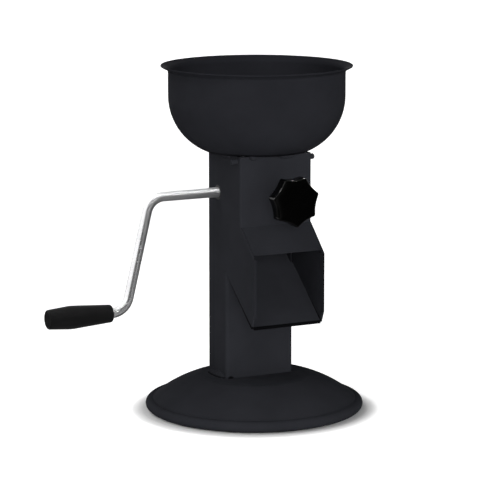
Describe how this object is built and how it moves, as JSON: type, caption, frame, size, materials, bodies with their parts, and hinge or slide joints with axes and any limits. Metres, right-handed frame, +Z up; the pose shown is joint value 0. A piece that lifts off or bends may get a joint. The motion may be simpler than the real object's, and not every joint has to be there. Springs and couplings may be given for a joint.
{
  "type": "crank nutcracker",
  "caption": "Free-standing hand-crank nutcracker: hopper bowl on a box column with a round foot, ribbed rotor turned by a bent crank, hinged jaw set by a star knob, and a front chute.",
  "frame": {"origin": "middle of the round foot's underside, on the table", "axes": "+Z up, the chute and the star knob face -Y, the crank stands out towards -X"},
  "size_m": [0.2702, 0.179, 0.2846],
  "materials": {
    "paint": "satin anthracite paint",
    "bright_steel": "polished",
    "plain_steel": "machined",
    "zinc_steel": "zinc plated",
    "grip_plastic": "moulded, semi-matt",
    "knob_plastic": "moulded, gloss",
    "bush_plastic": "moulded, matt",
    "rubber": "matt"
  },
  "bodies": {
    "frame": {"base_dome": "paint", "bottom_plate": "zinc_steel", "foot_mat": "rubber", "column": "paint", "column_foot_weld": "paint", "left_side_plate": "paint", "right_side_plate": "paint", "front_plate": "paint", "chute_ramp": "paint", "hopper_bowl": "paint", "hopper_weld_beads": "paint", "left_bush": "bush_plastic", "right_bush": "bush_plastic", "jaw_pivot_pin": "paint", "pivot_spacers": "zinc_steel", "screw_nut": "zinc_steel"},
    "crank": {"crank_rod": "bright_steel", "rotor": "plain_steel", "rotor_pin": "plain_steel", "grip_retainer": "zinc_steel"},
    "grip": {"grip": "grip_plastic", "grip_end_plug": "grip_plastic"},
    "pad": {"pressure_pad": "plain_steel"},
    "knob": {"adjusting_screw": "zinc_steel", "star_knob": "knob_plastic"},
    "jaw": {"jaw_plate": "plain_steel"}
  },
  "joints": [
    {"name": "crank_spin", "type": "hinge", "parent": "frame", "child": "crank", "pos_m": [0, 0.0052, 0.1815], "axis": [1, 0, 0], "continuous": true},
    {"name": "grip_spin", "type": "hinge", "parent": "crank", "child": "grip", "pos_m": [-0.15, 0.0052, 0.0903], "axis": [1, 0, 0], "continuous": true},
    {"name": "pad_slide", "type": "slide", "parent": "frame", "child": "pad", "axis": [0, 1, 0], "range_m": [-0.00151, 0.00601]},
    {"name": "knob_turn", "type": "hinge", "parent": "pad", "child": "knob", "pos_m": [0, -0.065, 0.1825], "axis": [0, 1, 0], "range_deg": [-432, 1728]},
    {"name": "jaw_swing", "type": "hinge", "parent": "frame", "child": "jaw", "pos_m": [0, -0.0319, 0.2114], "axis": [1, 0, 0], "range_deg": [-2.99, 11.92]}
  ],
  "couplings": [
    {"joint": "pad_slide", "follows": "knob_turn", "m_per_rad": 0.00019894},
    {"joint": "jaw_swing", "follows": "knob_turn", "ratio": 0.0068839}
  ]
}
